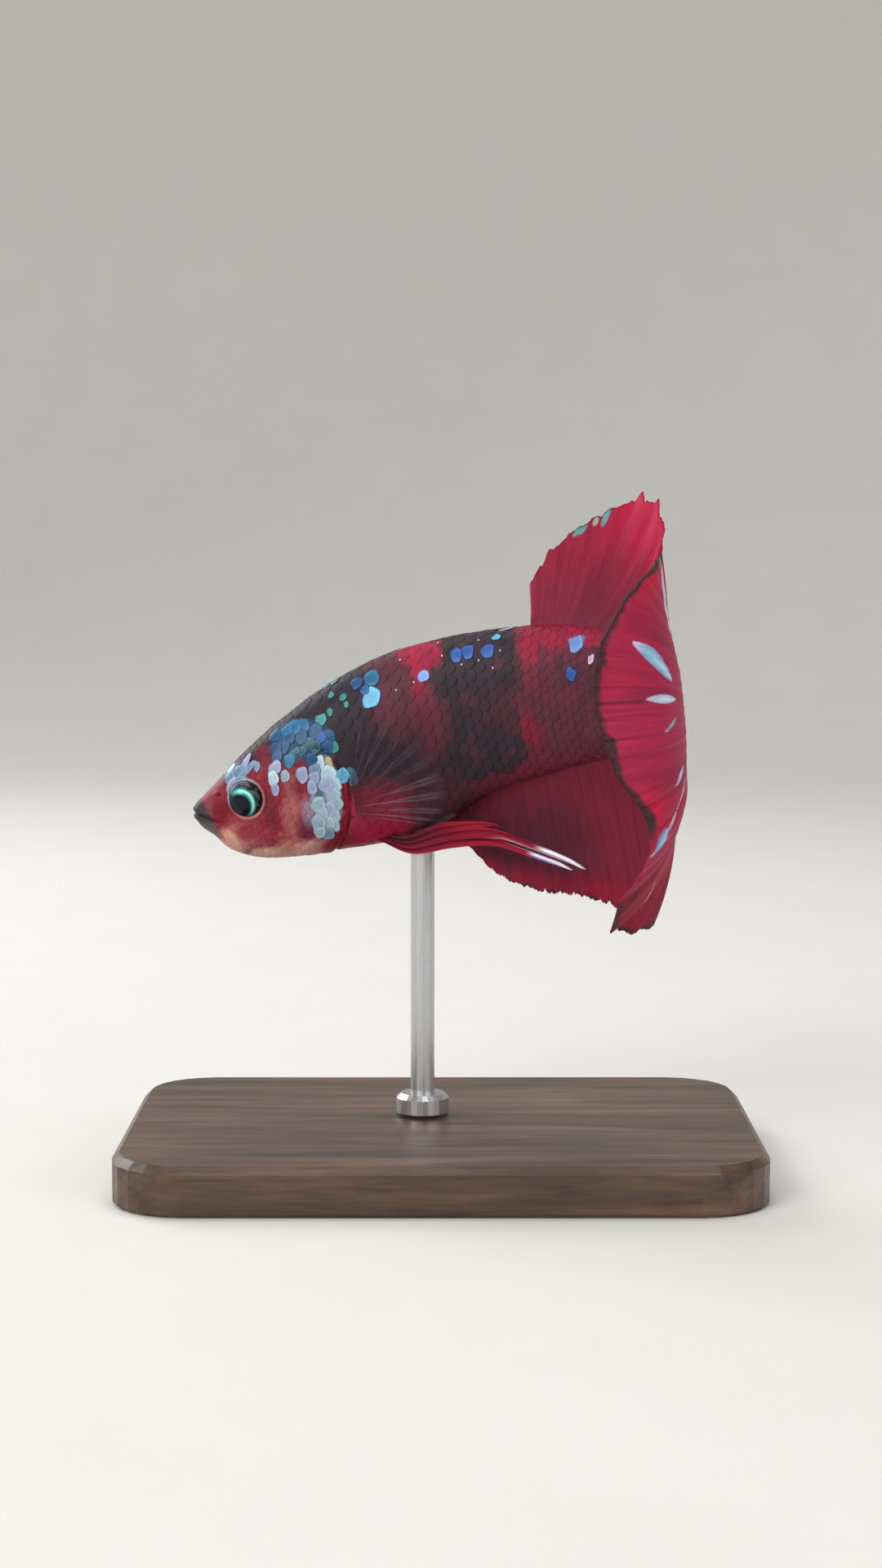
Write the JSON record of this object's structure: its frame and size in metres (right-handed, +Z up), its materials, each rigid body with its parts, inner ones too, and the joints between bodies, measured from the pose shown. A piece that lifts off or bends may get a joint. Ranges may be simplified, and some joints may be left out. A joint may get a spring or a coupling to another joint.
{
  "type": "betta fish model",
  "caption": "Life-size still model of a male short-finned betta fish turning in the water, with raised fins and a folded tail fin, on a small rod-and-base display stand.",
  "frame": {"origin": "middle of the flat underside of the stand's base", "axes": "+Z up; the fish's head points to -X and a little down, its left side faces -Y, and its tail swings round towards -Y"},
  "size_m": [0.052, 0.0434, 0.0556],
  "materials": {
    "fish_skin": "wet, scaled skin in black-maroon and crimson with a few blue and pale scales",
    "eye": "clear cornea over a dark eye with a turquoise crescent",
    "fin_membrane": "translucent crimson membrane with fine rays and a dark ragged edge",
    "clear_fin": "nearly clear smoky membrane with pale rays",
    "stand_wood": "satin dark walnut",
    "stand_steel": "fine brushed steel"
  },
  "bodies": {
    "root": {"head": "fish_skin", "lower_jaw": "fish_skin", "gill_cover_left": "fish_skin", "gill_cover_right": "fish_skin", "trunk": "fish_skin", "tail_stalk": "fish_skin", "eye_left": "eye", "eye_right": "eye", "dorsal_fin": "fin_membrane", "anal_fin": "fin_membrane", "caudal_fin": "fin_membrane", "pelvic_fin_left": "fin_membrane", "pelvic_fin_right": "fin_membrane", "pectoral_fin_left": "clear_fin", "pectoral_fin_right": "clear_fin", "stand_base": "stand_wood", "stand_rod": "stand_steel"}
  },
  "joints": []
}
